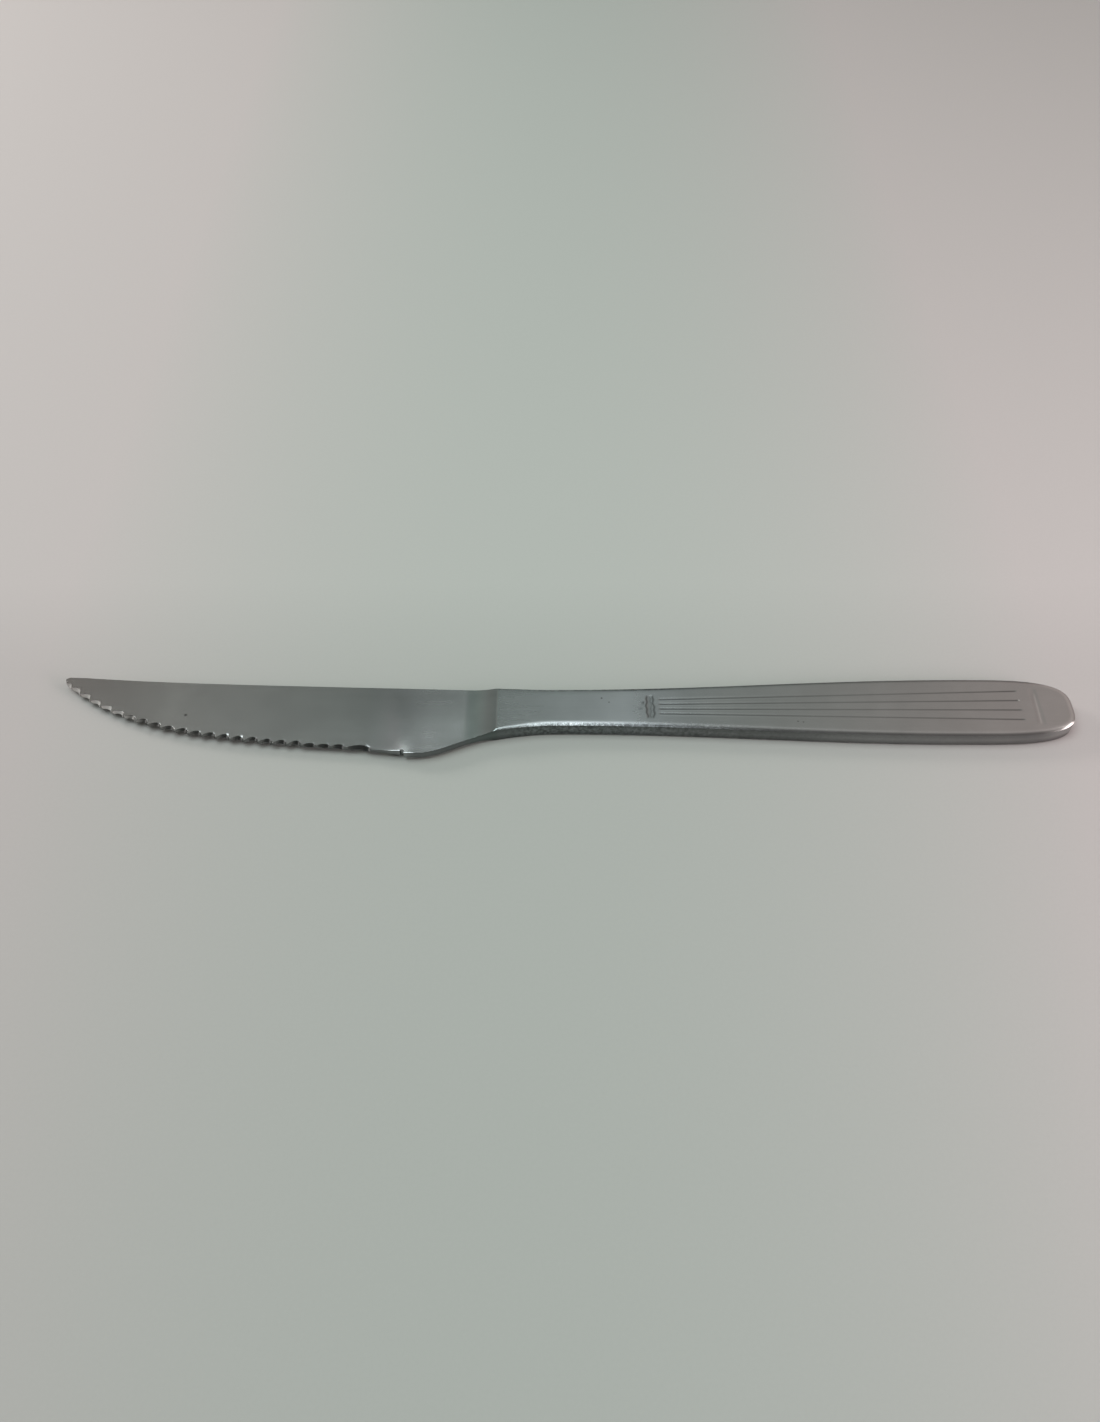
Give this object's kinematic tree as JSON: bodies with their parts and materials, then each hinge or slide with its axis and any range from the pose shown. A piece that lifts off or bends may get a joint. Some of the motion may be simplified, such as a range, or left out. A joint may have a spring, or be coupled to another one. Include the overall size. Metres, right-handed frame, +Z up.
{
  "type": "steak knife",
  "caption": "One-piece steel steak knife with an upswept serrated blade, a ramped neck and a flat tapering handle with a fan of pressed grooves.",
  "frame": {"origin": "middle of the handle's flat underside, halfway between the bolster crease and the end of the butt, on the axis of the handle", "axes": "+X from the tip to the butt, +Y from the cutting edge toward the spine, +Z up from the table on which the knife lies on its side"},
  "size_m": [0.21, 0.0206, 0.0034],
  "materials": {
    "blade_steel": "satin, ground",
    "handle_steel": "satin, with polished edges"
  },
  "bodies": {
    "root": {"blade": "blade_steel", "handle": "handle_steel"}
  },
  "joints": []
}
